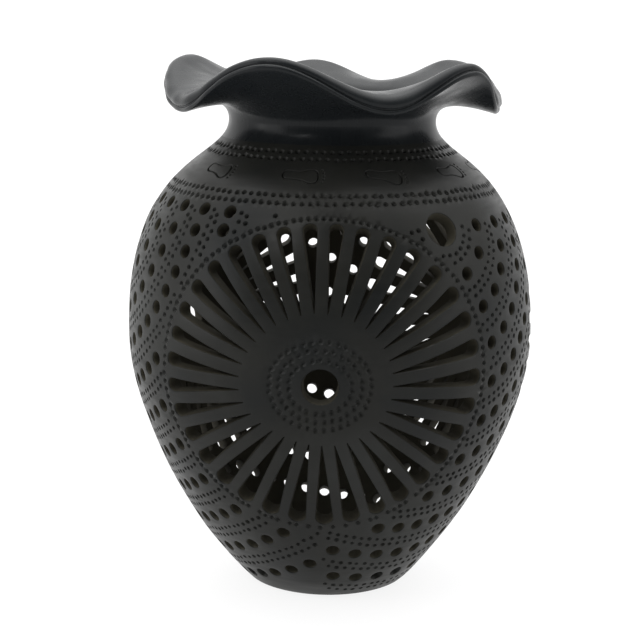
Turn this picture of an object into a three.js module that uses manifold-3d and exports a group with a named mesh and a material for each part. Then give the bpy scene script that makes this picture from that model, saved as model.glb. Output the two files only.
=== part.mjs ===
// Barro negro pot: a hand-built black clay jar with a pierced belly and a fluted rim.
//
// Millimetres, +Z up. The origin is the centre of the flat base, and angles run round the pot from its
// front (-Y) towards +X.
//
// The pot is five clay sections luted one on the other: base disc, belly wall, shoulder ring, neck collar
// and fluted rim. The piercing is drawn on a flat map of the wall and then wrapped round the pot. One unit
// across the map is one radian round the pot, and one unit up is the wall length that equals the pot's
// radius there, so that a circle on the map stays a circle on the pot.

import * as THREE from 'three';
import { mergeGeometries, mergeVertices } from 'three/addons/utils/BufferGeometryUtils.js';
import Module from 'manifold-3d';

const wasm = await Module();
wasm.setup();

const TURN = 2 * Math.PI;
const DEGREE = TURN / 360;

// ---- Driving dimensions ------------------------------------------------------------------------

// Outside of the wall: a curve from the foot to the widest circle, and one from there to the neck. Each
// end of a curve keeps its direction for about the length called its pull.
const FOOT_RADIUS = 33;
const FOOT_LEAN = 51 * DEGREE; // outwards from upright, where the wall leaves the base
const FOOT_PULL = 23;
const BELLY_RADIUS = 84;
const NECK_RADIUS = 42.6;
const NECK_HEIGHT = 194.5;
const NECK_PULL = 17.6;
const BELLY_HEIGHT = 0.545 * NECK_HEIGHT;
const BELLY_PULL_DOWN = 0.34 * BELLY_HEIGHT;
const BELLY_PULL_UP = 0.859 * (NECK_HEIGHT - BELLY_HEIGHT);

// Clay sections
const WALL = 5.6;
const FLOOR = 7;
const SLIP = 0.3; // the layer of slip between two sections
const SHOULDER_DEPTH = 22.5; // from the neck's narrowest circle down to the shoulder's lower seam
const COLLAR_DEPTH = 7; // from the same circle down to the collar's lower seam

// Fluted rim. Each flute is the angle of a crest or hollow, its lift from the lip's mean height, and its
// reach beyond the lip's mean radius. They are pinched by hand, so no two are alike.
const RIM_RISE = 16.5; // from the neck's narrowest circle up to the lip's mean height
const RIM_RADIUS = 69.5;
const RIM_THICKNESS = 5.6;
const RIM_CROWN = 1.6; // how far the top bulges above the lip's edge
const FLARE_START = 8; // how far the flange runs straight up from the neck
const FLARE_END = 15; // how far it keeps its direction before the lip
const LIP_LEAN = 8 * DEGREE; // rise of the flange at the lip, at mean height
const LIP_LEAN_PER_LIFT = 3.2 * DEGREE; // added for each millimetre of lift
const FLUTES = [
  { angle: -116, lift: 8.5, reach: -0.2 },
  { angle: -65, lift: -7.5, reach: -1.5 },
  { angle: -19, lift: 11, reach: 2 },
  { angle: 19, lift: -5.2, reach: -1.5 },
  { angle: 47, lift: 9, reach: 1.5 },
  { angle: 79, lift: -7.5, reach: 0 },
  { angle: 132, lift: 7, reach: 0.5 },
  { angle: 158, lift: -6.2, reach: -1.5 },
  { angle: 187, lift: 5.5, reach: 0 },
  { angle: 216, lift: -3, reach: -1 },
];

// Sunburst medallions: a pierced hub and ribs of one width, with a tapering slot between each two ribs
const MEDALLION_ANGLES = [-2.2, 122.5, 232.3];
const HUB_DROP = 5.3; // from the widest circle down to the hub
const HUB_HOLE_RADIUS = 7;
const MEDALLION_RADIUS = 0.812 * BELLY_RADIUS; // of the circle that ends the slots
const MEDALLION_SAG = 3.4; // that circle's centre, below the hub
const MEDALLION_BORDER = 11; // least wall between the slots and a seam or the next medallion
const RIB_COUNT = 34;
const RIB_WIDTH = 5.2;
const RIB_BUNCHING = 8.2; // the ribs are spaced by eye and drift by this many degrees
const BUNCHING_PLACE = 224; // clockwise from the top of the medallion
const BUNCHING_SPREAD = 55;

// Fans: arcs of round holes about one large hole, between the medallions
const FAN_TURN = 36.8; // from each medallion to the fan beside it
const FAN_DROPS = [17.6, 10.2, 11.2]; // from the shoulder seam down to each fan's large hole
const FAN_HOLE_RADIUS = 6.7;
const FIRST_ROW = 20; // down the wall from the large hole's centre
const HOLE_RADIUS = 2.6;
const HOLE_COUNT = 175; // the room in the fans is shared out among this many holes
const ROW_SPREAD = 1.58; // from row to row, as a multiple of the pitch along a row
const MEDALLION_MARGIN = 8.2; // from the slots' circle to the nearest hole centre
const BAND_MARGIN = 10; // from the shoulder seam down to the highest hole centre
const FLOOR_MARGIN = 5; // from the floor up to the lowest hole centre
const MEETING_MARGIN = 4.5; // from a medallion's centre line to the nearest hole centre

// Fineness of the facets
const WALL_SEGMENTS = 32;
const RIM_SEGMENTS = 60;
const STATIONS = 600;
const STRAIGHTNESS = 0.01; // an edge that bends by less than this counts as straight

// ---- The wall and its map ----------------------------------------------------------------------

const foot = new THREE.Vector2(FOOT_RADIUS, 0);
const belly = new THREE.Vector2(BELLY_RADIUS, BELLY_HEIGHT);
const neck = new THREE.Vector2(NECK_RADIUS, NECK_HEIGHT);
const footPull = new THREE.Vector2(Math.sin(FOOT_LEAN), Math.cos(FOOT_LEAN)).multiplyScalar(FOOT_PULL);
const profile = new THREE.CurvePath();
profile.add(new THREE.CubicBezierCurve(
  foot,
  foot.clone().add(footPull),
  new THREE.Vector2(BELLY_RADIUS, BELLY_HEIGHT - BELLY_PULL_DOWN),
  belly,
));
profile.add(new THREE.CubicBezierCurve(
  belly,
  new THREE.Vector2(BELLY_RADIUS, BELLY_HEIGHT + BELLY_PULL_UP),
  new THREE.Vector2(NECK_RADIUS, NECK_HEIGHT - NECK_PULL),
  neck,
));

// Stations up the wall: length along it, height on the map, outside radius and height, outward normal,
// and the height of the inside face there.
const stations = [];
const stationStep = profile.getLength() / STATIONS;
let mapHeight = 0;
for (let i = 0; i <= STATIONS; i += 1) {
  const point = profile.getPoint(i / STATIONS);
  const tangent = profile.getTangent(i / STATIONS);
  if (i > 0) mapHeight += (2 * stationStep) / (point.x + stations[i - 1].radius);
  stations.push({
    length: i * stationStep,
    map: mapHeight,
    radius: point.x,
    height: point.y,
    outward: tangent.y,
    upward: -tangent.x,
    insideHeight: point.y + WALL * tangent.x,
  });
}

// The station where the value called key reaches value, worked out between its two neighbours
function stationAt(key, value) {
  let low = 0;
  let high = STATIONS;
  while (high - low > 1) {
    const middle = Math.floor((low + high) / 2);
    if (stations[middle][key] > value) high = middle;
    else low = middle;
  }
  const share = (value - stations[low][key]) / (stations[high][key] - stations[low][key]);
  const mix = {};
  for (const name of Object.keys(stations[low])) {
    mix[name] = stations[low][name] + share * (stations[high][name] - stations[low][name]);
  }
  return mix;
}

const floorSeam = stationAt('insideHeight', FLOOR).length;
const shoulderSeam = stationAt('height', NECK_HEIGHT - SHOULDER_DEPTH).length;
const collarSeam = stationAt('height', NECK_HEIGHT - COLLAR_DEPTH).length;
const rimSeam = profile.getLength();

// ---- Solids ------------------------------------------------------------------------------------

function outside(station) {
  return new THREE.Vector2(station.radius, station.height);
}

function inside(station) {
  return new THREE.Vector2(
    station.radius - WALL * station.outward,
    station.height - WALL * station.upward,
  );
}

// A turned solid: a profile in radius and height, revolved about +Z
function turned(points, segments) {
  return new THREE.LatheGeometry(points, segments).rotateX(Math.PI / 2);
}

// The ring of wall between two lengths, up the outside and back down the inside
function wallRing(from, to, rows) {
  const rings = Array.from({ length: rows + 1 }, (_, i) => (
    stationAt('length', from + ((to - from) * i) / rows)
  ));
  const loop = [...rings.map(outside), ...rings.reverse().map(inside)];
  loop.push(loop[0].clone());
  return turned(loop, WALL_SEGMENTS);
}

function toSolid(geometry) {
  const bare = geometry.clone();
  bare.deleteAttribute('normal');
  bare.deleteAttribute('uv');
  const merged = mergeVertices(bare);
  return new wasm.Manifold(new wasm.Mesh({
    numProp: 3,
    vertProperties: new Float32Array(merged.attributes.position.array),
    triVerts: new Uint32Array(merged.index.array),
  }));
}

// A cut leaves extra corners in the middle of straight edges, which are dropped here
function toGeometry(solid) {
  const mesh = solid.asOriginal().simplify(STRAIGHTNESS).getMesh();
  const geometry = new THREE.BufferGeometry();
  geometry.setAttribute('position', new THREE.BufferAttribute(mesh.vertProperties, 3));
  geometry.setIndex(new THREE.BufferAttribute(mesh.triVerts, 1));
  return geometry;
}

// ---- Piercing ----------------------------------------------------------------------------------

const CUT_OUTSIDE = 4; // a cutter stands this far out of the wall, more than its long edges cut corners
const CUT_INSIDE = 3;

function onWall(angle, station) {
  return new THREE.Vector3(
    station.radius * Math.sin(angle),
    -station.radius * Math.cos(angle),
    station.height,
  );
}

function outwardAt(angle, station) {
  return new THREE.Vector3(
    station.outward * Math.sin(angle),
    -station.outward * Math.cos(angle),
    station.upward,
  );
}

// A cutter through the wall: an outline on the map, laid on the pot and swept square to the wall at place
function cutter(shape, place, arcSegments) {
  const geometry = new THREE.ExtrudeGeometry(shape, {
    depth: CUT_INSIDE + WALL + CUT_OUTSIDE,
    bevelEnabled: false,
    curveSegments: arcSegments,
  });
  const sweep = outwardAt(place.x, stationAt('map', place.y));
  const position = geometry.attributes.position;
  for (let i = 0; i < position.count; i += 1) {
    const point = onWall(position.getX(i), stationAt('map', position.getY(i)));
    point.addScaledVector(sweep, position.getZ(i) - CUT_INSIDE - WALL);
    position.setXYZ(i, point.x, point.y, point.z);
  }
  return geometry;
}

function roundHole(place, radius, arcSegments) {
  const mapRadius = radius / stationAt('map', place.y).radius;
  const shape = new THREE.Shape().absarc(place.x, place.y, mapRadius, 0, TURN);
  return cutter(shape, place, arcSegments);
}

const bandMap = stationAt('length', shoulderSeam - BAND_MARGIN).map;
const floorMap = stationAt('height', FLOOR + FLOOR_MARGIN).map;
const hubMap = stationAt('height', BELLY_HEIGHT - HUB_DROP).map;
const medallionMapSag = MEDALLION_SAG / BELLY_RADIUS;

const medallions = MEDALLION_ANGLES.map((angle) => ({
  hub: new THREE.Vector2(angle * DEGREE, hubMap),
  centre: new THREE.Vector2(angle * DEGREE, hubMap - medallionMapSag),
}));

const closest = Math.min(...MEDALLION_ANGLES.map((angle, index) => (
  (MEDALLION_ANGLES[(index + 1) % MEDALLION_ANGLES.length] - angle + 360) % 360
)));
const medallionMapRadius = Math.min(
  MEDALLION_RADIUS / BELLY_RADIUS,
  (closest * DEGREE) / 2 - MEDALLION_BORDER / BELLY_RADIUS,
  stationAt('length', shoulderSeam - MEDALLION_BORDER).map - medallions[0].centre.y,
  medallions[0].centre.y - stationAt('length', floorSeam + MEDALLION_BORDER).map,
);

// The direction of a rib, clockwise from the top of its medallion, with the drift of spacing by eye
function ribAngle(index) {
  const even = (index * 360) / RIB_COUNT;
  const away = (even - BUNCHING_PLACE) / BUNCHING_SPREAD;
  return (even + RIB_BUNCHING * Math.exp(-away * away)) * DEGREE;
}

// The slot after a rib: it starts in a point where the two ribs meet, runs along both, and ends round
function slot(medallion, index) {
  const last = index === RIB_COUNT - 1 ? TURN : 0;
  const before = ribAngle(index);
  const after = ribAngle((index + 1) % RIB_COUNT) + last;
  const middle = (before + after) / 2;
  const spread = (after - before) / 2;
  const start = RIB_WIDTH / 2 / BELLY_RADIUS / Math.sin(spread);
  const end = Math.sqrt(medallionMapRadius ** 2 - (medallionMapSag * Math.sin(middle)) ** 2)
    - medallionMapSag * Math.cos(middle);
  const roundCentre = start + (end - start) / (1 + Math.sin(spread));
  const roundRadius = end - roundCentre;
  const along = Math.PI / 2 - middle;
  const place = (distance) => new THREE.Vector2(Math.cos(along), Math.sin(along))
    .multiplyScalar(distance)
    .add(medallion.hub);
  const centre = place(roundCentre);
  const halfArc = Math.PI / 2 + spread;
  const roundEnd = new THREE.Path()
    .absarc(centre.x, centre.y, roundRadius, along - halfArc, along + halfArc)
    .getSpacedPoints(3);
  return cutter(new THREE.Shape([place(start), ...roundEnd]), place((start + end) / 2), 1);
}

// Each fan fills the wall from its own medallion to the next one round the pot
const fans = medallions.map((left, index) => {
  const next = medallions[(index + 1) % medallions.length];
  const round = index === medallions.length - 1 ? TURN : 0;
  const right = next.centre.clone().add(new THREE.Vector2(round, 0));
  const origin = stationAt('length', shoulderSeam - FAN_DROPS[index]);
  const centre = new THREE.Vector2(left.hub.x + FAN_TURN * DEGREE, origin.map);
  const isOpen = (place) => {
    if (place.y > bandMap || place.y < floorMap) return false;
    const radius = stationAt('map', place.y).radius;
    const border = medallionMapRadius + MEDALLION_MARGIN / radius;
    const meeting = MEETING_MARGIN / radius;
    return place.distanceTo(left.centre) > border
      && place.distanceTo(right) > border
      && place.x > left.centre.x + meeting
      && place.x < right.x - meeting;
  };
  return { origin, centre, isOpen, from: left.centre.x, to: right.x };
});

// The area of wall that a fan's holes may be in
function fanArea(fan) {
  const steps = 200;
  const across = (fan.to - fan.from) / steps;
  const up = (bandMap - floorMap) / steps;
  let area = 0;
  for (let i = 0; i < steps; i += 1) {
    for (let j = 0; j < steps; j += 1) {
      const place = new THREE.Vector2(fan.from + (i + 0.5) * across, floorMap + (j + 0.5) * up);
      if (fan.isOpen(place)) area += across * up * stationAt('map', place.y).radius ** 2;
    }
  }
  return area;
}

const wholeArea = fans.reduce((sum, fan) => sum + fanArea(fan), 0);
const holePitch = Math.sqrt(wholeArea / HOLE_COUNT / ROW_SPREAD);

function fanHoles(fan) {
  const holes = [roundHole(fan.centre, FAN_HOLE_RADIUS, 6)];
  for (let down = FIRST_ROW; down < fan.origin.length; down += ROW_SPREAD * holePitch) {
    const rowRadius = fan.origin.map - stationAt('length', fan.origin.length - down).map;
    holes.push(...rowHoles(fan.centre, rowRadius, fan.isOpen));
  }
  return holes;
}

// One arc of holes: each open stretch of it is filled evenly from end to end
function rowHoles(centre, rowRadius, isOpen) {
  const steps = 720;
  const places = Array.from({ length: steps + 1 }, (_, i) => {
    const swing = -Math.PI / 2 + (Math.PI * i) / steps;
    return new THREE.Vector2(Math.sin(swing), -Math.cos(swing)).multiplyScalar(rowRadius).add(centre);
  });
  const holes = [];
  let stretch = [];
  for (const place of [...places, null]) {
    if (place && isOpen(place)) {
      stretch.push(place);
    } else if (stretch.length > 0) {
      holes.push(...evenly(stretch).map((spot) => roundHole(spot, HOLE_RADIUS, 3)));
      stretch = [];
    }
  }
  return holes;
}

// Places at an even spacing of about the hole pitch along a run of close points
function evenly(points) {
  const lengths = [0];
  for (let i = 1; i < points.length; i += 1) {
    const radius = stationAt('map', points[i].y).radius;
    lengths.push(lengths[i - 1] + points[i].distanceTo(points[i - 1]) * radius);
  }
  const total = lengths[lengths.length - 1];
  const gaps = Math.round(total / holePitch);
  const places = [];
  for (let i = 0; i <= gaps; i += 1) {
    const target = gaps === 0 ? total / 2 : (total * i) / gaps;
    places.push(points[lengths.findIndex((length) => length >= target - 1e-9)]);
  }
  return places;
}

// ---- Rim ---------------------------------------------------------------------------------------

// Lift and reach of the lip at an angle, easing from each flute to the next
function flute(angle) {
  const first = FLUTES[0].angle;
  const degrees = first + ((((angle / DEGREE - first) % 360) + 360) % 360);
  const ring = [...FLUTES, { ...FLUTES[0], angle: first + 360 }];
  const index = ring.findIndex((point) => point.angle > degrees);
  const before = ring[index - 1];
  const after = ring[index];
  const share = (degrees - before.angle) / (after.angle - before.angle);
  const ease = (1 - Math.cos(Math.PI * share)) / 2;
  return {
    lift: before.lift + ease * (after.lift - before.lift),
    reach: before.reach + ease * (after.reach - before.reach),
  };
}

// The flange's section at an angle: up the underside, over the lip and back down to the neck
function rimSection(angle) {
  const { lift, reach } = flute(angle);
  const seamHeight = NECK_HEIGHT + SLIP;
  const lean = LIP_LEAN + LIP_LEAN_PER_LIFT * lift;
  const along = new THREE.Vector2(Math.cos(lean), Math.sin(lean));
  const up = new THREE.Vector2(-along.y, along.x);
  const edge = new THREE.Vector2(RIM_RADIUS + reach, NECK_HEIGHT + RIM_RISE + lift);
  const under = edge.clone().addScaledVector(up, -RIM_THICKNESS);
  const crown = edge.clone().addScaledVector(up, RIM_CROWN).addScaledVector(along, -RIM_THICKNESS);
  const underside = new THREE.CubicBezierCurve(
    new THREE.Vector2(NECK_RADIUS, seamHeight),
    new THREE.Vector2(NECK_RADIUS, seamHeight + FLARE_START),
    under.clone().addScaledVector(along, -FLARE_END),
    under,
  );
  const topside = new THREE.CubicBezierCurve(
    crown,
    crown.clone().addScaledVector(along, -FLARE_END),
    new THREE.Vector2(NECK_RADIUS - WALL, seamHeight + FLARE_START + WALL),
    new THREE.Vector2(NECK_RADIUS - WALL, seamHeight),
  );
  const loop = [...underside.getPoints(6), edge, ...topside.getPoints(7)];
  loop.push(loop[0].clone());
  return loop;
}

// A turned ring whose every section is then set by its angle
function flutedRim() {
  const geometry = new THREE.LatheGeometry(rimSection(0), RIM_SEGMENTS);
  const position = geometry.attributes.position;
  for (let i = 0; i <= RIM_SEGMENTS; i += 1) {
    const angle = ((i % RIM_SEGMENTS) * TURN) / RIM_SEGMENTS;
    const section = rimSection(angle);
    section.forEach((point, j) => {
      position.setXYZ(i * section.length + j, point.x * Math.sin(angle), point.y, point.x * Math.cos(angle));
    });
  }
  return geometry.rotateX(Math.PI / 2);
}

// ---- The sections ------------------------------------------------------------------------------

function baseDisc() {
  const seam = stationAt('length', floorSeam);
  const points = [new THREE.Vector2(0, 0), foot, outside(seam), inside(seam), new THREE.Vector2(0, FLOOR)];
  return turned(points, WALL_SEGMENTS);
}

function bellyWall() {
  const ring = wallRing(floorSeam + SLIP, shoulderSeam, 6);
  const cuts = [];
  for (const medallion of medallions) {
    cuts.push(roundHole(medallion.hub, HUB_HOLE_RADIUS, 6));
    for (let rib = 0; rib < RIB_COUNT; rib += 1) cuts.push(slot(medallion, rib));
  }
  for (const fan of fans) cuts.push(...fanHoles(fan));
  return toGeometry(toSolid(ring).subtract(toSolid(mergeGeometries(cuts))));
}

function clay(name, geometry, color, roughness) {
  const material = new THREE.MeshStandardMaterial({ color, roughness, metalness: 0 });
  const mesh = new THREE.Mesh(geometry, material);
  mesh.name = name;
  return mesh;
}

const pot = new THREE.Group();
pot.name = 'barro_negro_pot';
pot.add(
  clay('base_disc', baseDisc(), '#262624', 0.7),
  clay('belly_wall', bellyWall(), '#2d2e2c', 0.42),
  clay('shoulder_ring', wallRing(shoulderSeam + SLIP, collarSeam, 2), '#2f3030', 0.4),
  clay('neck_collar', wallRing(collarSeam + SLIP, rimSeam, 2), '#2e3031', 0.36),
  clay('fluted_rim', flutedRim(), '#343636', 0.38),
);

export default pot;
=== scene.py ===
"""Visual model of the barro negro pot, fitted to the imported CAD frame."""

import math
from collections import namedtuple

import bpy
import numpy as np
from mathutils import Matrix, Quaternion, Vector
from mathutils.geometry import delaunay_2d_cdt
from mathutils.kdtree import KDTree


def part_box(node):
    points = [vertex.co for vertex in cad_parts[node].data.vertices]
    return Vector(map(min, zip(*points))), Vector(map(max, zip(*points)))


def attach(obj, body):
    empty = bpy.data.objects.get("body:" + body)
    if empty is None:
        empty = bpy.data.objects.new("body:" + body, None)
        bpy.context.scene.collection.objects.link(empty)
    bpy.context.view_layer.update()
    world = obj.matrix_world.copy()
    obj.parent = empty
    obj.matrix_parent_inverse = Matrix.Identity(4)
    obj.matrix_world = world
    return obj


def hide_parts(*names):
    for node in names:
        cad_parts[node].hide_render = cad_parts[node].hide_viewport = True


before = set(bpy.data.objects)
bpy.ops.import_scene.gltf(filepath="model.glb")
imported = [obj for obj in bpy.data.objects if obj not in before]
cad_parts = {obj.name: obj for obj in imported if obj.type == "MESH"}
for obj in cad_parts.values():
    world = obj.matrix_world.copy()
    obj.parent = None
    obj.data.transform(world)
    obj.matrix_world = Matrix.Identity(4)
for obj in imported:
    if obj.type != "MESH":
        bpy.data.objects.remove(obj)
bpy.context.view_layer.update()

TURN = 2 * math.pi
MM = 0.001

# ---- Wall: the same profile as the CAD, in millimetres --------------------------------------------

WALL = 5.6
FLOOR = 7.0
FOOT_RADIUS = 33.0
FOOT_LEAN = math.radians(51)
FOOT_PULL = 23.0
BELLY_RADIUS = 84.0
NECK_RADIUS = 42.6
NECK_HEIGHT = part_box("neck_collar")[1][2] / MM
NECK_PULL = 17.6
BELLY_HEIGHT = 0.545 * NECK_HEIGHT
BELLY_PULL_DOWN = 0.34 * BELLY_HEIGHT
BELLY_PULL_UP = 0.859 * (NECK_HEIGHT - BELLY_HEIGHT)
SHOULDER_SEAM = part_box("belly_wall")[1][2] / MM
COLLAR_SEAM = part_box("shoulder_ring")[1][2] / MM

# Waves that leave the hand-formed wall out of true: height, turns round the pot, climb and phase
WAVES = [(0.22, 2, 2.1, 0.6), (0.18, 3, -3.3, 2.2), (0.10, 7, 5.0, 0.0), (0.06, 13, -11.0, 1.0)]
NECK_FADE = 0.5
FOOT_FADE = 0.3


def bezier(points, count=1500):
    """Points along a cubic curve."""
    t = np.linspace(0, 1, count)[:, None]
    a, b, c, d = (np.array(p, float) for p in points)
    s = 1 - t
    return s**3 * a + 3 * s * s * t * b + 3 * s * t * t * c + t**3 * d


def wall_table():
    """Columns of the outer profile from the foot to the neck, with its outward normal (out, up).

    The wall is drawn on a flat map: u is the angle round the pot from the front, and a unit of v is the
    wall length that equals the radius there, so that a circle on the map stays a circle on the pot.
    """
    pull = FOOT_PULL * np.array([math.sin(FOOT_LEAN), math.cos(FOOT_LEAN)])
    lower = bezier([
        (FOOT_RADIUS, 0),
        (FOOT_RADIUS + pull[0], pull[1]),
        (BELLY_RADIUS, BELLY_HEIGHT - BELLY_PULL_DOWN),
        (BELLY_RADIUS, BELLY_HEIGHT),
    ])
    upper = bezier([
        (BELLY_RADIUS, BELLY_HEIGHT),
        (BELLY_RADIUS, BELLY_HEIGHT + BELLY_PULL_UP),
        (NECK_RADIUS, NECK_HEIGHT - NECK_PULL),
        (NECK_RADIUS, NECK_HEIGHT),
    ])
    path = np.concatenate([lower, upper[1:]])
    step = np.diff(path, axis=0)
    gap = np.hypot(step[:, 0], step[:, 1])
    length = np.concatenate([[0], np.cumsum(gap)])
    middle = (path[1:, 0] + path[:-1, 0]) / 2
    rise = np.concatenate([[0], np.cumsum(gap / middle)])
    tangent = np.gradient(path, length, axis=0)
    tangent /= np.linalg.norm(tangent, axis=1)[:, None]
    return {
        "length": length,
        "map": rise,
        "radius": path[:, 0],
        "height": path[:, 1],
        "out": tangent[:, 1],
        "up": -tangent[:, 0],
    }


table = wall_table()


def at(key, value, wanted):
    """The wanted column where the column key reaches value."""
    return np.interp(value, table[key], table[wanted])


def radius_at(v):
    return at("map", v, "radius")


inside_height = table["height"] - WALL * table["up"]
FLOOR_V = float(np.interp(FLOOR, inside_height, table["map"]))
SHOULDER_V = float(at("height", SHOULDER_SEAM, "map"))
COLLAR_V = float(at("height", COLLAR_SEAM, "map"))
RIM_V = float(table["map"][-1])


def unevenness(u, v):
    """How far the wall stands out of true, fading out towards the neck and the foot."""
    fade = np.clip((COLLAR_V - v) / NECK_FADE, 0, 1) * np.clip(v / FOOT_FADE, 0, 1)
    return fade * sum(size * np.sin(turns * u + climb * v + phase) for size, turns, climb, phase in WAVES)


def wall_points(u, v, depth):
    """Metre coordinates of map places u, v at a depth below the outer face."""
    u, v, depth = np.broadcast_arrays(u, v, np.asarray(depth, float))
    out = unevenness(u, v) - depth
    radius = at("map", v, "radius") + out * at("map", v, "out")
    height = at("map", v, "height") + out * at("map", v, "up")
    return MM * np.stack([radius * np.sin(u), -radius * np.cos(u), height], axis=-1)


# ---- Layout of the piercing, on the map -----------------------------------------------------------

MEDALLION_ANGLES = [-2.2, 122.5, 232.3]
HUB_DROP = 5.3
HUB_HOLE_RADIUS = 7.0
MEDALLION_RADIUS = 0.812
MEDALLION_SAG = 3.4 / BELLY_RADIUS
RIB_COUNT = 34
RIB_WIDTH = 5.2
RIB_BUNCHING = 8.2
BUNCHING_PLACE = 224
BUNCHING_SPREAD = 55
FAN_TURN = math.radians(36.8)
FAN_DROPS = [17.6, 10.2, 11.2]
FAN_HOLE_RADIUS = 6.7
FIRST_ROW = 20.0
HOLE_RADIUS = 2.6
HOLE_PITCH = 9.7
ROW_PITCH = 1.58 * HOLE_PITCH
MEDALLION_MARGIN = 8.2
BAND_MARGIN = 10.0
FLOOR_MARGIN = 5.0
MEETING_MARGIN = 4.5
PIT_MARGIN = 4.1
PIT_CLEARANCE = 7.5

# Points of a slot's outline: its round outer end, its tip, and each side between them
OUTER_POINTS = 11
TIP_POINTS = 4
SIDE_POINTS = 11

shoulder_length = float(at("height", SHOULDER_SEAM, "length"))
band_v = float(at("length", shoulder_length - BAND_MARGIN, "map"))
floor_v = float(at("height", FLOOR + FLOOR_MARGIN, "map"))
hub_v = float(at("height", BELLY_HEIGHT - HUB_DROP, "map"))
medallions = [math.radians(a) for a in MEDALLION_ANGLES]
centre_v = hub_v - MEDALLION_SAG


def rib_angle(index):
    """Clockwise angle of a rib from the top; the ribs are spaced by eye and bunch up at one place."""
    even = index * 360 / RIB_COUNT
    return math.radians(even + RIB_BUNCHING * math.exp(-(((even - BUNCHING_PLACE) / BUNCHING_SPREAD) ** 2)))


def slot_outline(hub_u, index, grow, shorten=0.0):
    """A slot's outline on the map, anticlockwise, grown all round and shortened at its tip."""
    before = rib_angle(index)
    after = rib_angle((index + 1) % RIB_COUNT) + (TURN if index == RIB_COUNT - 1 else 0)
    middle = (before + after) / 2
    spread = (after - before) / 2
    start = RIB_WIDTH / 2 / BELLY_RADIUS / math.sin(spread)
    end = math.sqrt(MEDALLION_RADIUS**2 - (MEDALLION_SAG * math.sin(middle)) ** 2)
    end -= MEDALLION_SAG * math.cos(middle)
    round_centre = start + (end - start) / (1 + math.sin(spread))
    round_radius = end - round_centre
    grow = grow / BELLY_RADIUS
    start += shorten / BELLY_RADIUS
    tip_radius = round_radius - (round_centre - start) * math.sin(spread)
    half = math.pi / 2 + spread
    outer = [(round_centre, round_radius + grow, a) for a in np.linspace(-half, half, OUTER_POINTS)]
    tip = [(start, tip_radius + grow, a) for a in np.linspace(half, TURN - half, TIP_POINTS)]
    corners = [(c + r * math.cos(a), r * math.sin(a)) for c, r, a in outer + tip]
    points = []
    for k, corner in enumerate(corners):
        points.append(corner)
        if k in (OUTER_POINTS - 1, OUTER_POINTS + TIP_POINTS - 1):
            following = corners[(k + 1) % len(corners)]
            for share in np.linspace(0, 1, SIDE_POINTS + 2)[1:-1]:
                points.append(tuple(np.add(corner, share * np.subtract(following, corner))))
    along = math.pi / 2 - middle
    turn = np.array([[math.cos(along), -math.sin(along)], [math.sin(along), math.cos(along)]])
    return np.array(points) @ turn.T + [hub_u, hub_v]


def circle(u, v, radius, count):
    """A circle of a radius in millimetres, on the map."""
    angle = np.arange(count) * TURN / count
    local = radius / radius_at(v)
    return np.stack([u + local * np.cos(angle), v + local * np.sin(angle)], axis=-1)


def wrap(u):
    """The same angle between minus half a turn and half a turn."""
    return (u + math.pi) % TURN - math.pi


def border_distance(u, v):
    """Millimetres outwards from the nearest medallion's slot circle."""
    gaps = [np.hypot(wrap(u - m), v - centre_v) - MEDALLION_RADIUS for m in medallions]
    return np.min(gaps, axis=0) * radius_at(v)


# A fan lies between the medallions on its left and right. Its large hole is at the centre angle, and at
# the origin along the wall, which is map_height on the map.
Fan = namedtuple("Fan", "left right centre origin map_height")
ARC_STEPS = 1441
HOLES_STOP = 1.0  # the arcs of holes and of dots stop this far short of the foot
DOTS_STOP = 4.0
fans = []
for index, left in enumerate(medallions):
    right = medallions[(index + 1) % 3] + (TURN if index == 2 else 0)
    origin = shoulder_length - FAN_DROPS[index]
    fans.append(Fan(left, right, left + FAN_TURN, origin, float(at("length", origin, "map"))))


def arcs(fan, down, is_open, pitch, stagger=0.0):
    """Places along the open stretches of one arc of a fan, evenly spaced at about the pitch."""
    row_radius = fan.map_height - float(at("length", fan.origin - down, "map"))
    swing = np.linspace(-math.pi / 2, math.pi / 2, ARC_STEPS)
    u = fan.centre + row_radius * np.sin(swing)
    v = fan.map_height - row_radius * np.cos(swing)
    good = is_open(u, v, fan.left, fan.right)
    places = []
    edges = np.flatnonzero(np.diff(np.concatenate([[0], good.astype(int), [0]])))
    for first, last in zip(edges[::2], edges[1::2]):
        su, sv = u[first:last], v[first:last]
        if len(su) < 2:
            if pitch == HOLE_PITCH:
                places.append((su[0], sv[0]))
            continue
        gap = np.hypot(np.diff(su), np.diff(sv)) * radius_at((sv[1:] + sv[:-1]) / 2)
        run = np.concatenate([[0], np.cumsum(gap)])
        gaps = int(round(run[-1] / pitch))
        if gaps == 0:
            where = np.array([run[-1] / 2])
        else:
            where = (np.arange(gaps + (0 if stagger else 1)) + stagger) * run[-1] / gaps
        places += list(zip(np.interp(where, run, su), np.interp(where, run, sv)))
    return places


def hole_open(u, v, left, right):
    """Where a fan has room for round holes."""
    meeting = MEETING_MARGIN / radius_at(v)
    return (
        (v <= band_v) & (v >= floor_v)
        & (border_distance(u, v) > MEDALLION_MARGIN)
        & (u > left + meeting) & (u < right - meeting)
    )


def pit_open(u, v, left, right):
    """Where the floor disc leaves a hole blind."""
    local = radius_at(v)
    meeting = MEETING_MARGIN / local
    return (
        (v < floor_v) & (v > FLOOR_V + PIT_MARGIN / local)
        & (u > left + meeting) & (u < right - meeting)
    )


def far_from_holes(u, v):
    gaps = [np.hypot(wrap(u - hole_u), v - hole_v) for hole_u, hole_v in small_holes]
    return min(gaps) > PIT_CLEARANCE / radius_at(v)


large_holes = [(fan.centre, fan.map_height) for fan in fans]
small_holes = []
pits = []
for fan in fans:
    for down in np.arange(FIRST_ROW, fan.origin - HOLES_STOP, ROW_PITCH):
        small_holes += arcs(fan, down, hole_open, HOLE_PITCH)
        pits += arcs(fan, down, pit_open, HOLE_PITCH)
pits = [pit for pit in pits if far_from_holes(*pit)]

# ---- Dots -----------------------------------------------------------------------------------------

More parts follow.
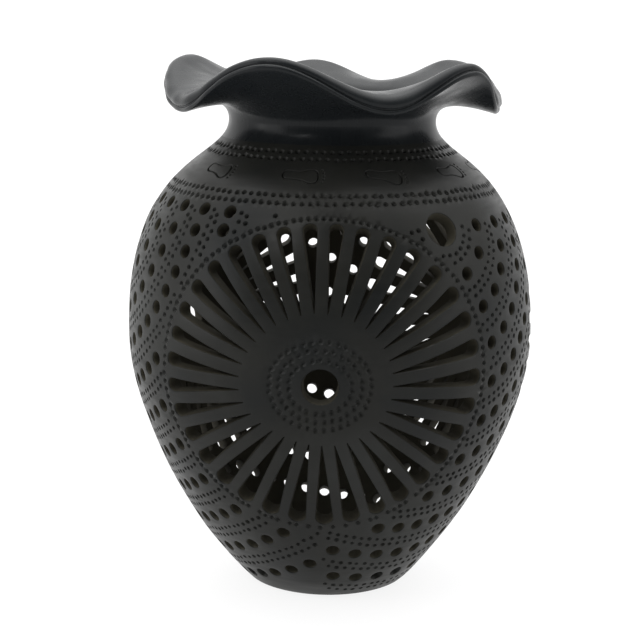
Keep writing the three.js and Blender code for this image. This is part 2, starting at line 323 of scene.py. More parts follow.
# Each kind of dot: radius, depth, spread of its size, and points round its edge
FAN_DOT = (0.95, 1.2, 0.07, 7)
BROAD_DOT = (1.12, 1.1, 0.06, 8)
HUB_DOT = (1.3, 1.0, 0.05, 9)
SHOULDER_DOT = (1.05, 0.85, 0.0, 9)
TOE_DOT = (0.6, 0.55, 0.0, 7)
# Rings of a dot from its middle out: share of the radius, share of the depth, points
DOT_RINGS = [(0.45, 0.8, 4), (0.88, 0.2, 7)]
DOT_BRIM = 1.12

DOT_PITCH = 3.4
ROW_GAP = 3.2
LOW_BAND = [170.3, 167.5]
LOW_BAND_PITCH = 3.2
HIGH_BAND = [185.0, 182.5]
HIGH_BAND_PITCH = 3.3
BORDER_DOTS = 2.3
BORDER_STEP = 0.046875
RING_DOTS = [12.0, 15.8, 19.6]
RING_PITCH = 3.3
RING_FLATNESS = 0.9

# Bare wall between the fans' dots and the band, the floor, the medallions' dots and the next fan
BAND_GAP = 2.9
FLOOR_GAP = 1.6
BORDER_GAP = 2.7
MEETING_GAP = 1.2
BORDER_BAND_GAP = 2.6

# Bare wall from the edge of a small, a blind and a large hole to the middle of a dot
HOLE_BARE = 1.75
PIT_BARE = 1.5
LARGE_BARE = 1.9
# Least distance between the middles of two dots of each kind
FAN_LEAST = 2.35
BROAD_LEAST = 2.5
HUB_LEAST = 2.2
SHOULDER_LEAST = 1.8

NUDGE = 0.16
KEEP_OUT_REACH = 10.0
CELL = 4 / BELLY_RADIUS
rng = np.random.default_rng(7)

band_low_v = float(at("height", LOW_BAND[1], "map"))


def dot_open(u, v, left, right):
    """Where a fan has room for dots."""
    local = radius_at(v)
    return (
        (v <= band_low_v - BAND_GAP / local) & (v >= FLOOR_V + FLOOR_GAP / local)
        & (border_distance(u, v) > BORDER_DOTS + BORDER_GAP)
        & (u > left + MEETING_GAP / local) & (u < right - MEETING_GAP / local)
    )


fan_dots = []
for fan in fans:
    for down in np.arange(FIRST_ROW - ROW_PITCH / 2, fan.origin - DOTS_STOP, ROW_PITCH):
        for side, stagger in ((-1, 0.0), (1, 0.5)):
            fan_dots += arcs(fan, down + side * ROW_GAP / 2, dot_open, DOT_PITCH, stagger)

border_dots, hub_dots = [], []
for hub_u in medallions:
    border = MEDALLION_RADIUS + BORDER_DOTS / BELLY_RADIUS
    for a in np.arange(0, TURN, BORDER_STEP):
        u, v = hub_u + border * math.sin(a), centre_v + border * math.cos(a)
        if v < band_low_v - BORDER_BAND_GAP / radius_at(v):
            border_dots.append((u, v))
    for k, ring_radius in enumerate(RING_DOTS):
        count = int(round(TURN * ring_radius / RING_PITCH))
        ring = ring_radius / BELLY_RADIUS
        for j in range(count):
            a = (j + 0.5 * (k % 2)) * TURN / count
            hub_dots.append((hub_u + ring * math.sin(a), hub_v + RING_FLATNESS * ring * math.cos(a)))


def band(heights, pitch):
    """Rows of dots right round the pot."""
    places = []
    for k, height in enumerate(heights):
        v = float(at("height", height, "map"))
        count = int(round(TURN * radius_at(v) / pitch))
        places += [((j + 0.5 * k) * TURN / count, v) for j in range(count)]
    return places


def spaced(places, keep_out, least):
    """The places, each nudged as by hand, that clear the keep-out circles and each other."""
    tree = KDTree(max(1, len(keep_out)))
    for k, (u, v, _) in enumerate(keep_out):
        tree.insert((u, v, 0), k)
    tree.balance()
    kept = []
    cells = {}
    for u, v in places:
        local = radius_at(v)
        nudge = rng.normal(0, NUDGE, 2) / local
        u, v = wrap(u) + nudge[0], v + nudge[1]
        blocked = any(
            gap * local < keep_out[k][2]
            for shift in (-TURN, 0, TURN)
            for _, k, gap in tree.find_range((u + shift, v, 0), KEEP_OUT_REACH / local)
        )
        cell = (int(u // CELL), int(v // CELL))
        crowded = any(
            math.hypot(other[0] - u, other[1] - v) * local < least
            for i in (-1, 0, 1)
            for j in (-1, 0, 1)
            for other in cells.get((cell[0] + i, cell[1] + j), ())
        )
        if not blocked and not crowded:
            cells.setdefault(cell, []).append((u, v))
            kept.append((u, v))
    return kept


def circles(places, radius):
    return [(wrap(u), v, radius) for u, v in places]


keep_out = circles(small_holes, HOLE_RADIUS + HOLE_BARE)
keep_out += circles(pits, HOLE_RADIUS + PIT_BARE)
keep_out += circles(large_holes, FAN_HOLE_RADIUS + LARGE_BARE)
hub_dots = spaced(hub_dots, keep_out, HUB_LEAST)
broad_dots = spaced(border_dots + band(LOW_BAND, LOW_BAND_PITCH), keep_out, BROAD_LEAST)
fan_dots = spaced(fan_dots, keep_out + circles(broad_dots, BROAD_LEAST), FAN_LEAST)
shoulder_dots = spaced(band(HIGH_BAND, HIGH_BAND_PITCH), [], SHOULDER_LEAST)

# ---- Footprints -----------------------------------------------------------------------------------

FOOTPRINT_ANGLES = [-50, -12, 20, 53, 81, 116, 152, 188, 224, 262]
FOOTPRINT_HEIGHT = 177.0
FOOTPRINT_TURN = -6.0
FOOTPRINT_SWAY = 5.0
FOOTPRINT_STEP = 2.4
FOOTPRINT_POINTS = 64
# Section of the incised line: to the side, depth
INCISION = [(-0.45, 0.0), (0.0, 0.6), (0.45, 0.0)]
FOOTPRINT = [
    (-7.0, 0.4), (-6.7, 1.6), (-5.6, 2.3), (-3.6, 2.3), (-1.2, 2.1), (1.2, 2.5), (3.2, 3.3), (5.0, 3.5),
    (6.3, 2.5), (6.9, 0.8), (7.0, -1.0), (6.5, -2.6), (5.2, -3.4), (3.4, -3.2), (1.4, -2.4), (-0.8, -1.9),
    (-3.0, -1.9), (-5.2, -1.9), (-6.5, -1.2),
]
TOES = [(8.2, 3.7), (8.9, 2.2), (9.2, 0.6), (9.1, -1.0), (8.7, -2.5)]


def smooth_loop(points, count):
    """A closed Catmull-Rom curve through the points, with its left-hand normals."""
    points = np.array(points, float)
    n = len(points)
    t = np.arange(count) * n / count
    i = t.astype(int)
    f = (t - i)[:, None]
    p0, p1, p2, p3 = (points[(i + k) % n] for k in (-1, 0, 1, 2))
    curve = 0.5 * (
        2 * p1 + (p2 - p0) * f + (2 * p0 - 5 * p1 + 4 * p2 - p3) * f**2 + (3 * p1 - p0 - 3 * p2 + p3) * f**3
    )
    ahead = np.roll(curve, -1, axis=0) - np.roll(curve, 1, axis=0)
    ahead /= np.linalg.norm(ahead, axis=1)[:, None]
    return curve, np.stack([-ahead[:, 1], ahead[:, 0]], axis=-1)


# ---- Surfaces triangulated on the map -------------------------------------------------------------

SEAM_SEGMENTS = 360
ROW_RATIO = 0.866
CLEARANCE = 0.62
# A blind hole from its middle out: share of the hole's radius, depth
PIT_RINGS = [(0.6, 3.4), (0.9, 2.4), (1.0, 0.5), (1.1, 0.06), (1.35, 0.0)]
PIT_DEPTH = 3.6
PIT_POINTS = 14


class Sheet:
    """One face of the wall: places on the map, their depths, and the loops that must stay edges.

    Each loop round an opening has its own owner number, and no triangle is made inside such a loop.
    """

    def __init__(self, low, high, level):
        self.low, self.high, self.level = low, high, level
        self.uv, self.depth, self.edges, self.owner = [], [], [], []
        self.count = 0
        ring = np.arange(SEAM_SEGMENTS) * TURN / SEAM_SEGMENTS
        self.bottom = self.loop(np.stack([ring, np.full_like(ring, low)], axis=-1), level)
        self.top = self.loop(np.stack([ring, np.full_like(ring, high)], axis=-1), level, owner=-1)

    def add(self, uv, depth, owner=0):
        uv = np.atleast_2d(uv)
        first = self.count
        self.uv.append(uv)
        self.depth.append(np.broadcast_to(np.asarray(depth, float), len(uv)).copy())
        self.owner.append(np.full(len(uv), owner))
        self.count += len(uv)
        return np.arange(first, self.count)

    def loop(self, uv, depth, owner=0):
        index = self.add(uv, depth, owner)
        self.edges += list(zip(index.tolist(), np.roll(index, -1).tolist()))
        return index

    def dot(self, u, v, radius, depth, brim_points):
        """A dimple pressed with a round tool."""
        self.add([(u, v)], depth)
        for share, depth_share, count in [*DOT_RINGS, (DOT_BRIM, 0.0, brim_points)]:
            local = share * radius / radius_at(v)
            angle = (np.arange(count) + 0.5 * (count % 2)) * TURN / count
            places = np.stack([u + local * np.cos(angle), v + local * np.sin(angle)], -1)
            self.add(places, depth_share * depth)

    def pit(self, u, v):
        """A blind hole that doesn't reach through the wall."""
        self.add([(u, v)], PIT_DEPTH)
        for share, depth in PIT_RINGS:
            self.loop(circle(u, v, share * HOLE_RADIUS, PIT_POINTS), depth)

    def fill(self, spacing, polygons):
        """Adds a grid, spacing millimetres apart at the widest circle, outside the polygons."""
        feature = np.concatenate(self.uv)
        tree = KDTree(len(feature))
        for k, (u, v) in enumerate(feature):
            tree.insert((wrap(u), v, 0), k)
        tree.balance()
        around = int(round(TURN * BELLY_RADIUS / spacing))
        step = TURN / around
        rows = max(1, int((self.high - self.low) / (step * ROW_RATIO)))
        grid = []
        for j in range(1, rows):
            v = self.low + (self.high - self.low) * j / rows
            u = (np.arange(around) + 0.5 * (j % 2)) * step - math.pi
            grid.append(np.stack([u, np.full(around, v)], -1))
        grid = np.concatenate(grid)
        least = CLEARANCE * spacing / BELLY_RADIUS
        clear = np.array([tree.find((u, v, 0))[2] > least for u, v in grid])
        grid = grid[clear]
        keep = np.ones(len(grid), bool)
        for polygon in polygons:
            middle = polygon.mean(axis=0)
            shifted = np.stack([middle[0] + wrap(grid[:, 0] - middle[0]), grid[:, 1]], -1)
            reach = np.max(np.linalg.norm(polygon - middle, axis=1))
            near = np.flatnonzero(np.linalg.norm(shifted - middle, axis=1) < reach)
            if len(near) == 0:
                continue
            a = polygon
            b = np.roll(polygon, -1, axis=0)
            side = b - a
            off = shifted[near][:, None, :] - a[None]
            cross = side[None, :, 0] * off[:, :, 1] - side[None, :, 1] * off[:, :, 0]
            keep[near[np.all(cross > 0, axis=1)]] = False
        self.add(grid[keep], self.level)

    def mesh(self):
        """The sheet's points and triangles."""
        uv = np.concatenate(self.uv)
        depth = np.concatenate(self.depth)
        owner = np.concatenate(self.owner)
        scale = np.exp(-(uv[:, 1] - self.low))
        flat = np.stack([scale * np.sin(uv[:, 0]), -scale * np.cos(uv[:, 0])], -1)
        found = delaunay_2d_cdt([Vector(p) for p in flat.tolist()], self.edges, [], 0, 1e-9, True)
        verts, _, faces, origin = found[0], found[1], found[2], found[3]
        index = []
        crossings = []
        for (x, y), source in zip(verts, origin):
            if source:
                index.append(source[0])
            else:
                index.append(len(uv) + len(crossings))
                crossings.append((math.atan2(x, -y), self.low - math.log(math.hypot(x, y))))
        if crossings:
            uv = np.concatenate([uv, crossings])
            depth = np.append(depth, np.full(len(crossings), self.level))
            owner = np.append(owner, np.zeros(len(crossings), int))
        faces = np.array(index)[np.array(faces)]
        inside = (owner[faces[:, 0]] == owner[faces[:, 1]]) & (owner[faces[:, 1]] == owner[faces[:, 2]])
        inside &= owner[faces[:, 0]] != 0
        return wall_points(uv[:, 0], uv[:, 1], depth), faces[~inside]


SKIN, CUT = 0, 1  # material numbers: the worked skin, and clay that was cut or left rough


class Body:
    """A closed mesh put together from vertices and faces, with a material number for each face."""

    def __init__(self):
        self.points, self.faces, self.finish = [], [], []
        self.count = 0

    def add(self, points):
        points = np.asarray(points).reshape(-1, 3)
        first = self.count
        self.points.append(points)
        self.count += len(points)
        return np.arange(first, self.count)

    def face(self, faces, finish):
        faces = np.asarray(faces)
        self.faces += faces.tolist()
        self.finish += [finish] * len(faces)

    def strip(self, lower, upper, finish):
        """Quads between two rings of the same count; they face outwards if upper is above lower."""
        after_low, after_up = np.roll(lower, -1), np.roll(upper, -1)
        self.face(np.stack([lower, after_low, after_up, upper], -1), finish)

    def build(self, name, materials, sharp):
        mesh = bpy.data.meshes.new(name)
        mesh.from_pydata(np.concatenate(self.points).tolist(), [], self.faces)
        for material in materials:
            mesh.materials.append(material)
        mesh.polygons.foreach_set("material_index", np.array(self.finish, dtype=np.int32))
        mesh.polygons.foreach_set("use_smooth", np.ones(len(self.faces), dtype=bool))
        mesh.update()
        mesh.set_sharp_from_angle(angle=math.radians(sharp))
        mesh.validate()
        obj = bpy.data.objects.new(name, mesh)
        bpy.context.scene.collection.objects.link(obj)
        return obj


def pierced_wall(low, high, holes, dress, spacing, inner_spacing):
    """The wall between two map heights. A hole is its outlines and depths outside, through and inside."""
    body = Body()
    outer = Sheet(low, high, 0)
    inner = Sheet(low, high, WALL)
    outer_cuts, inner_cuts, outer_polygons, inner_polygons = [], [], [], []
    for number, (outside, _, within) in enumerate(holes, start=1):
        for polygon, depth in outside[:-1]:
            outer.loop(polygon, depth)
        outer_cuts.append(outer.loop(*outside[-1], number))
        outer_polygons.append(outside[0][0])
        inner_cuts.append(inner.loop(*within[0], number))
        inner.loop(*within[1])
        inner_polygons.append(within[1][0])
    dress(outer)
    outer.fill(spacing, outer_polygons)
    inner.fill(inner_spacing, inner_polygons)
    outer_points, outer_faces = outer.mesh()
    inner_points, inner_faces = inner.mesh()
    top = body.add(outer_points)
    under = body.add(inner_points)
    body.face(top[outer_faces], SKIN)
    body.face(under[inner_faces][:, ::-1], CUT)
    for number, (_, through, _) in enumerate(holes):
        rings = [top[outer_cuts[number]]]
        rings += [body.add(wall_points(polygon[:, 0], polygon[:, 1], depth)) for polygon, depth in through]
        rings.append(under[inner_cuts[number]])
        for before, after in zip(rings, rings[1:]):
            body.strip(before, after, CUT)
    body.strip(under[inner.bottom], top[outer.bottom], CUT)
    body.strip(top[outer.top], under[inner.top], CUT)
    return body


# Section of a hole: how far it opens beyond its nominal outline, and the depth. A slot also shortens at
# its tip as it goes in.
ROUND_OUTSIDE = [(0.75, 0.0), (0.28, 0.05), (0.05, 0.32)]
ROUND_TAPER = 0.97
ROUND_BREAK = 0.35
ROUND_THROUGH = (1.2, 3.6)
SLOT_OUTSIDE = [(0.85, 0.0), (0.34, 0.06), (0.08, 0.36)]
SLOT_THROUGH = [(0.02, 0.6, 1.4), (-0.12, 2.5, 3.6)]
SLOT_WITHIN = [(-0.2, 4.5, WALL - 0.35), (0.15, 4.5, WALL)]
SMALL_POINTS = 16
LARGE_POINTS = 32


def round_hole(u, v, radius, count):
    narrow = ROUND_TAPER * radius
    outside = [(circle(u, v, radius + grow, count), depth) for grow, depth in ROUND_OUTSIDE]
    through = [(circle(u, v, edge, count), depth) for edge, depth in zip((radius, narrow), ROUND_THROUGH)]
    within = [
        (circle(u, v, narrow, count), WALL - ROUND_BREAK),
        (circle(u, v, narrow + ROUND_BREAK, count), WALL),
    ]
    return outside, through, within


def slot_hole(hub_u, index):
    outside = [(slot_outline(hub_u, index, grow), depth) for grow, depth in SLOT_OUTSIDE]
    through = [(slot_outline(hub_u, index, grow, tip), depth) for grow, tip, depth in SLOT_THROUGH]
    within = [(slot_outline(hub_u, index, grow, tip), depth) for grow, tip, depth in SLOT_WITHIN]
    return outside, through, within


holes = [round_hole(u, v, HOLE_RADIUS, SMALL_POINTS) for u, v in small_holes]
holes += [round_hole(u, v, FAN_HOLE_RADIUS, LARGE_POINTS) for u, v in large_holes]
for hub_u in medallions:
    holes.append(round_hole(hub_u, hub_v, HUB_HOLE_RADIUS, LARGE_POINTS))
    holes += [slot_hole(hub_u, index) for index in range(RIB_COUNT)]


def dress_belly(sheet):
    """The dots and blind holes of the belly."""
    radius, depth, spread, points = FAN_DOT
    for u, v in fan_dots:
        size = 1 + rng.normal(0, spread)
        sheet.dot(u, v, radius * size, depth * size, points)
    for places, (radius, depth, spread, points) in ((broad_dots, BROAD_DOT), (hub_dots, HUB_DOT)):
        for u, v in places:
            sheet.dot(u, v, radius * (1 + rng.normal(0, spread)), depth, points)
    for u, v in pits:
        sheet.pit(u, v)


def dress_shoulder(sheet):
    """The upper band of dots and the footprints."""
    radius, depth, _, points = SHOULDER_DOT
    toe_radius, toe_depth, _, toe_points = TOE_DOT
    for u, v in shoulder_dots:
        sheet.dot(u, v, radius, depth, points)
    v = float(at("height", FOOTPRINT_HEIGHT, "map"))
    local = radius_at(v)
    curve, normal = smooth_loop(FOOTPRINT, FOOTPRINT_POINTS)
    for number, angle in enumerate(FOOTPRINT_ANGLES):
        centre = np.array([math.radians(angle), v])
        turn = math.radians(FOOTPRINT_TURN + FOOTPRINT_SWAY * math.sin(FOOTPRINT_STEP * number))
        spin = np.array([[math.cos(turn), -math.sin(turn)], [math.sin(turn), math.cos(turn)]])
        for side, level in INCISION:
            sheet.loop((curve + side * normal) @ spin.T / local + centre, level)
        for toe in TOES:
            place = np.array(toe) @ spin.T / local + centre
            sheet.dot(place[0], place[1], toe_radius, toe_depth, toe_points)


# ---- Materials ------------------------------------------------------------------------------------


def new_material(name):
    material = bpy.data.materials.new(name)
    material.use_nodes = True
    tree = material.node_tree
    shader = tree.nodes["Principled BSDF"]
    return material, tree, shader


def noise(tree, place, scale, detail, stretch=(1, 1, 1)):
    mapping = tree.nodes.new("ShaderNodeMapping")
    mapping.inputs["Scale"].default_value = stretch
    texture = tree.nodes.new("ShaderNodeTexNoise")
    texture.inputs["Scale"].default_value = scale
    texture.inputs["Detail"].default_value = detail
    texture.inputs["Roughness"].default_value = 0.55
    tree.links.new(place, mapping.inputs["Vector"])
    tree.links.new(mapping.outputs["Vector"], texture.inputs["Vector"])
    return texture.outputs["Fac"]


def ramp(tree, value, stops):
    """Colours at stops from 0 to 1."""
    node = tree.nodes.new("ShaderNodeValToRGB")
    node.color_ramp.elements[0].position = stops[0][0]
    node.color_ramp.elements[0].color = (*stops[0][1], 1)
    node.color_ramp.elements[1].position = stops[-1][0]
    node.color_ramp.elements[1].color = (*stops[-1][1], 1)
    for position, color in stops[1:-1]:
        node.color_ramp.elements.new(position).color = (*color, 1)
    tree.links.new(value, node.inputs["Fac"])
    return node.outputs["Color"]


def spread(tree, value, low, high):
    """Noise, which keeps near 0.5, stretched to the range from low to high."""
    node = tree.nodes.new("ShaderNodeMapRange")
    node.inputs["From Min"].default_value = 0.3
    node.inputs["From Max"].default_value = 0.7
    node.inputs["To Min"].default_value = low
    node.inputs["To Max"].default_value = high
    tree.links.new(value, node.inputs["Value"])
    return node.outputs["Result"]


def bump(tree, height, strength, distance, before=None):
    node = tree.nodes.new("ShaderNodeBump")
    node.inputs["Strength"].default_value = strength
    node.inputs["Distance"].default_value = distance
    tree.links.new(height, node.inputs["Height"])
    if before is not None:
        tree.links.new(before, node.inputs["Normal"])
    return node.outputs["Normal"]


PATCH_SCALE = 22
STROKE_SCALE = 60
GRAIN_SCALE = 900
STROKE_HEIGHT = 0.0006
GRAIN_HEIGHT = 0.00015


def clay_material(name, colors, roughness, specular, grain, stroke=(1, 1, 7), relief=0.12):
    """Fired clay: smoke patches in three colours, strokes of the burnishing stone, and fine grain."""
    material, tree, shader = new_material(name)
    place = tree.nodes.new("ShaderNodeTexCoord").outputs["Object"]
    patches = noise(tree, place, PATCH_SCALE, 4)
    color = ramp(tree, patches, list(zip((0.3, 0.52, 0.72), colors)))
    tree.links.new(color, shader.inputs["Base Color"])
    strokes = noise(tree, place, STROKE_SCALE, 4, stroke)
    tree.links.new(spread(tree, strokes, *roughness), shader.inputs["Roughness"])
    shader.inputs["Specular IOR Level"].default_value = specular
    grains = noise(tree, place, GRAIN_SCALE, 2)
    normal = bump(tree, strokes, relief, STROKE_HEIGHT)
    normal = bump(tree, grains, grain, GRAIN_HEIGHT, normal)
    tree.links.new(normal, shader.inputs["Normal"])
    return material


burnished = clay_material(
    "burnished_clay", [(0.0085, 0.0095, 0.0095), (0.0142, 0.0143, 0.0127), (0.0215, 0.0225, 0.021)],
    (0.28, 0.44), 0.12, 0.12)
polished = clay_material(
    "polished_clay", [(0.0075, 0.009, 0.0105), (0.011, 0.0125, 0.0135), (0.017, 0.019, 0.020)],
    (0.22, 0.34), 0.13, 0.06, (3, 3, 0.4), 0.05)
cut_clay = clay_material(
    "cut_clay", [(0.022, 0.020, 0.014), (0.034, 0.031, 0.022), (0.050, 0.046, 0.033)],
    (0.68, 0.86), 0.15, 0.4)

# ---- Pieces ---------------------------------------------------------------------------------------


def ring_points(radius, height):
    angle = np.arange(SEAM_SEGMENTS) * TURN / SEAM_SEGMENTS
    return MM * np.stack([radius * np.sin(angle), -radius * np.cos(angle), height + 0 * angle], -1)


# Radius and height of the rings under the base, from a slightly hollow middle to the foot's edge
UNDERSIDE = [(8, 0.35), (20, 0.35), (27, 0.3), (28.5, 0.0), (31.2, 0.0), (32.6, 0.25)]
FOOT_EDGE = 0.9
BASE_WALL_RINGS = 6
COLLAR_RINGS = 12


def base():
    """The disc that the pot stands on, with the lowest few millimetres of the wall."""
    body = Body()
    angle = np.arange(SEAM_SEGMENTS) * TURN / SEAM_SEGMENTS
    inner = float(at("map", FLOOR_V, "radius") - WALL * at("map", FLOOR_V, "out"))
    floor = [(inner - 1.5, FLOOR - 0.4), (inner - 6, FLOOR - 0.2), (14, FLOOR - 0.3), (5, FLOOR)]
    outside = [body.add(ring_points(radius, height)) for radius, height in UNDERSIDE]
    for v in np.linspace(float(at("height", FOOT_EDGE, "map")), FLOOR_V, BASE_WALL_RINGS):
        outside.append(body.add(wall_points(angle, v, 0)))
    within = [body.add(wall_points(angle, FLOOR_V, WALL))]
    within += [body.add(ring_points(radius, height)) for radius, height in floor]
    rings = outside + within
    for number, (before, after) in enumerate(zip(rings, rings[1:]), start=1):
        body.strip(before, after, SKIN if number < len(outside) else CUT)
    below = body.add([(0, 0, UNDERSIDE[0][1] * MM)])[0]
    above = body.add([(0, 0, FLOOR * MM)])[0]
    first, last = rings[0], rings[-1]
    body.face(np.stack([np.roll(first, -1), first, np.full(SEAM_SEGMENTS, below)], -1), SKIN)
    body.face(np.stack([last, np.roll(last, -1), np.full(SEAM_SEGMENTS, above)], -1), CUT)
    return body


def collar():
    """The short upright neck."""
    body = Body()
    angle = np.arange(SEAM_SEGMENTS) * TURN / SEAM_SEGMENTS
    heights = np.linspace(COLLAR_V, RIM_V, COLLAR_RINGS)
    outer = [body.add(wall_points(angle, v, 0)) for v in heights]
    inner = [body.add(wall_points(angle, v, WALL)) for v in heights[::-1]]
    rings = outer + inner
    for number, (before, after) in enumerate(zip(rings, rings[1:] + rings[:1])):
        body.strip(before, after, SKIN if number < len(outer) else CUT)
    return body


# Turning points of the rim, pinched by hand: angle in degrees, lift and reach of the lip in millimetres
FLUTES = [
    (-116, 8.5, -0.2), (-65, -7.5, -1.5), (-19, 11, 2), (19, -5.2, -1.5), (47, 9, 1.5),
    (79, -7.5, 0), (132, 7, 0.5), (158, -6.2, -1.5), (187, 5.5, 0), (216, -3, -1),
]
RIM_RISE = 16.5
RIM_RADIUS = 69.5
FLARE_START = 8.0
FLARE_END = 15.0
LIP_LEAN = 8.0
LIP_LEAN_PER_LIFT = 3.2
RIPPLES = [(0.12, 17, 0.0), (0.1, 31, 1.0)]  # unevenness of the lip: reach, waves round the rim, phase
FLARE_STEPS = 26
# Section of the lip from the flange's underside round to its top, with the groove between its two beads:
# distance along the flange and square to it
LIP = [
    (-1.3, -5.6), (-0.7, -5.5), (-0.25, -5.15), (-0.05, -4.6), (-0.12, -4.05), (-0.45, -3.7), (-0.8, -3.45),
    (-0.8, -3.15), (-0.35, -2.85), (-0.05, -2.3), (0.0, -1.5), (-0.3, -0.6), (-0.85, 0.15), (-1.6, 0.75),
    (-2.6, 1.2), (-3.6, 1.45), (-4.6, 1.6),
]


def flute(angle):
    """Lift and reach of the lip at an angle in radians."""
    first = FLUTES[0][0]
    degrees = (math.degrees(angle) - first) % 360 + first
    ring = FLUTES + [(first + 360, *FLUTES[0][1:])]
    index = next(k for k, point in enumerate(ring) if point[0] > degrees)
    before, after = ring[index - 1], ring[index]
    share = (degrees - before[0]) / (after[0] - before[0])
    ease = (1 - math.cos(math.pi * share)) / 2
    return before[1] + ease * (after[1] - before[1]), before[2] + ease * (after[2] - before[2])


def rim_section(angle):
    """Radius and height round the flange's section at an angle, from the neck's outside to its inside."""
    lift, reach = flute(angle)
    reach += sum(size * math.sin(waves * angle + phase) for size, waves, phase in RIPPLES)
    lean = math.radians(LIP_LEAN + LIP_LEAN_PER_LIFT * lift)
    along = np.array([math.cos(lean), math.sin(lean)])
    up = np.array([-along[1], along[0]])
    edge = np.array([RIM_RADIUS + reach, NECK_HEIGHT + RIM_RISE + lift])
    lip = [edge + a * along + b * up for a, b in LIP]
    under = bezier([
        (NECK_RADIUS, NECK_HEIGHT), (NECK_RADIUS, NECK_HEIGHT + FLARE_START),
        lip[0] - FLARE_END * along, lip[0]], FLARE_STEPS)
    top = bezier([
        lip[-1], lip[-1] - FLARE_END * along,
        (NECK_RADIUS - WALL, NECK_HEIGHT + FLARE_START + WALL), (NECK_RADIUS - WALL, NECK_HEIGHT)],
        FLARE_STEPS)
    return np.concatenate([under[:-1], lip, top[1:]])


def rim():
    """The wide fluted flange."""
    body = Body()
    angles = np.arange(SEAM_SEGMENTS) * TURN / SEAM_SEGMENTS
    sections = np.stack([rim_section(a) for a in angles])
    rings = []
    for k in range(sections.shape[1]):
        radius, height = sections[:, k, 0], sections[:, k, 1]
        rings.append(body.add(MM * np.stack([radius * np.sin(angles), -radius * np.cos(angles), height], -1)))
    for before, after in zip(rings, rings[1:] + rings[:1]):
        body.strip(before, after, SKIN)
    return body


WALL_CREASE = 38
RIM_CREASE = 50
OUTER_SPACING = 2.6
BELLY_INNER_SPACING = 6.5
SHOULDER_SPACING = 2.4
SHOULDER_INNER_SPACING = 6.0


def piece(body, name, node, skin=burnished, crease=WALL_CREASE):
    """Builds a piece that stands for one CAD node."""
    obj = body.build(name, [skin, cut_clay], crease)
    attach(obj, "root")
    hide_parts(node)


belly = pierced_wall(FLOOR_V, SHOULDER_V, holes, dress_belly, OUTER_SPACING, BELLY_INNER_SPACING)
shoulder = pierced_wall(
    SHOULDER_V, COLLAR_V, [], dress_shoulder, SHOULDER_SPACING, SHOULDER_INNER_SPACING)
piece(base(), "foot_disc", "base_disc")
piece(belly, "pierced_belly", "belly_wall")
piece(shoulder, "footprint_shoulder", "shoulder_ring")
piece(collar(), "neck", "neck_collar", polished)
piece(rim(), "wavy_rim", "fluted_rim", polished, RIM_CREASE)

# ---- Stage ----------------------------------------------------------------------------------------


FLOOR_REACH = 60.0
FLOOR_COLOR = 0.12
FLOOR_GLOW = 0.87

# Lights: name, place, the height on the pot's axis that it faces, size and power
LIGHTS = [
    ("key", (-0.7, -0.9, 1.2), 0.13, (0.5, 0.5), 4),
    ("left", (-1.1, -0.35, 0.45), 0.12, (0.7, 0.9), 4),
    ("right", (1.1, -0.35, 0.45), 0.12, (0.7, 0.9), 2.5),
]

CAMERA_PLACE = (0, -0.6664, 0.2411)
CAMERA_PITCH = 0.194
CAMERA_ROLL = 0.014
CAMERA_LENS = 90.545625
CAMERA_SHIFT = -0.015109375


def smooth_step(tree, value, start, end, low, high):
    node = tree.nodes.new("ShaderNodeMapRange")
    node.interpolation_type = "SMOOTHSTEP"
    node.inputs["From Min"].default_value = start
    node.inputs["From Max"].default_value = end
    node.inputs["To Min"].default_value = low
    node.inputs["To Max"].default_value = high
    tree.links.new(value, node.inputs["Value"])
    return node.outputs["Result"]


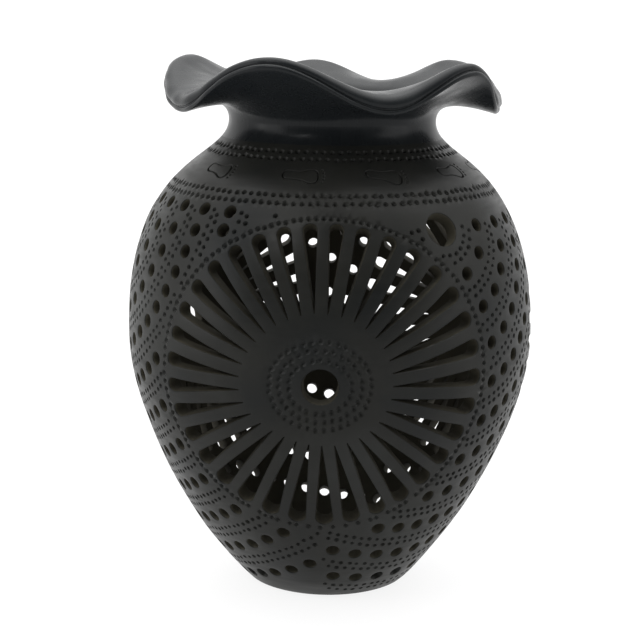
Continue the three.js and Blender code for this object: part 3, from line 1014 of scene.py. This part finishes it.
def floor():
    """A plain pale floor that glows a little, so that it stays pale away from the lights."""
    mesh = bpy.data.meshes.new("floor")
    corners = [(x * FLOOR_REACH, y * FLOOR_REACH, 0) for x, y in ((-1, -1), (1, -1), (1, 1), (-1, 1))]
    mesh.from_pydata(corners, [], [(0, 1, 2, 3)])
    obj = bpy.data.objects.new("floor", mesh)
    bpy.context.scene.collection.objects.link(obj)
    material, _, shader = new_material("floor_paint")
    shader.inputs["Base Color"].default_value = (FLOOR_COLOR, FLOOR_COLOR, FLOOR_COLOR, 1)
    shader.inputs["Roughness"].default_value = 0.9
    shader.inputs["Emission Color"].default_value = (1, 1, 1, 1)
    shader.inputs["Emission Strength"].default_value = FLOOR_GLOW
    mesh.materials.append(material)


def sky():
    """Soft light all round, stronger overhead and dim behind the camera."""
    world = bpy.data.worlds.new("studio")
    bpy.context.scene.world = world
    world.use_nodes = True
    tree = world.node_tree
    background = tree.nodes["Background"]
    place = tree.nodes.new("ShaderNodeTexCoord").outputs["Generated"]
    split = tree.nodes.new("ShaderNodeSeparateXYZ")
    tree.links.new(place, split.inputs[0])
    back = smooth_step(tree, split.outputs["Y"], -0.75, 0.1, 0.1, 1.15)
    above = smooth_step(tree, split.outputs["Z"], 0.5, 0.95, 1.0, 3.4)
    product = tree.nodes.new("ShaderNodeMath")
    product.operation = "MULTIPLY"
    tree.links.new(back, product.inputs[0])
    tree.links.new(above, product.inputs[1])
    tree.links.new(product.outputs[0], background.inputs["Strength"])
    background.inputs["Color"].default_value = (1, 1, 1, 1)
    bpy.context.scene.view_settings.view_transform = "Standard"


def area_light(name, place, target_height, size, power):
    data = bpy.data.lights.new(name, "AREA")
    data.shape = "RECTANGLE"
    data.size, data.size_y = size
    data.energy = power
    obj = bpy.data.objects.new(name, data)
    obj.location = place
    aim = Vector((0, 0, target_height)) - Vector(place)
    obj.rotation_euler = aim.to_track_quat("-Z", "Y").to_euler()
    bpy.context.scene.collection.objects.link(obj)


def camera():
    data = bpy.data.cameras.new("camera")
    data.sensor_width = 36
    data.lens = CAMERA_LENS
    data.shift_x = CAMERA_SHIFT
    obj = bpy.data.objects.new("camera", data)
    obj.location = CAMERA_PLACE
    obj.rotation_mode = "QUATERNION"
    forward = Vector((0, math.cos(CAMERA_PITCH), -math.sin(CAMERA_PITCH)))
    obj.rotation_quaternion = Quaternion(forward, -CAMERA_ROLL) @ forward.to_track_quat("-Z", "Y")
    bpy.context.scene.collection.objects.link(obj)
    bpy.context.scene.camera = obj


floor()
sky()
for light in LIGHTS:
    area_light(*light)
camera()
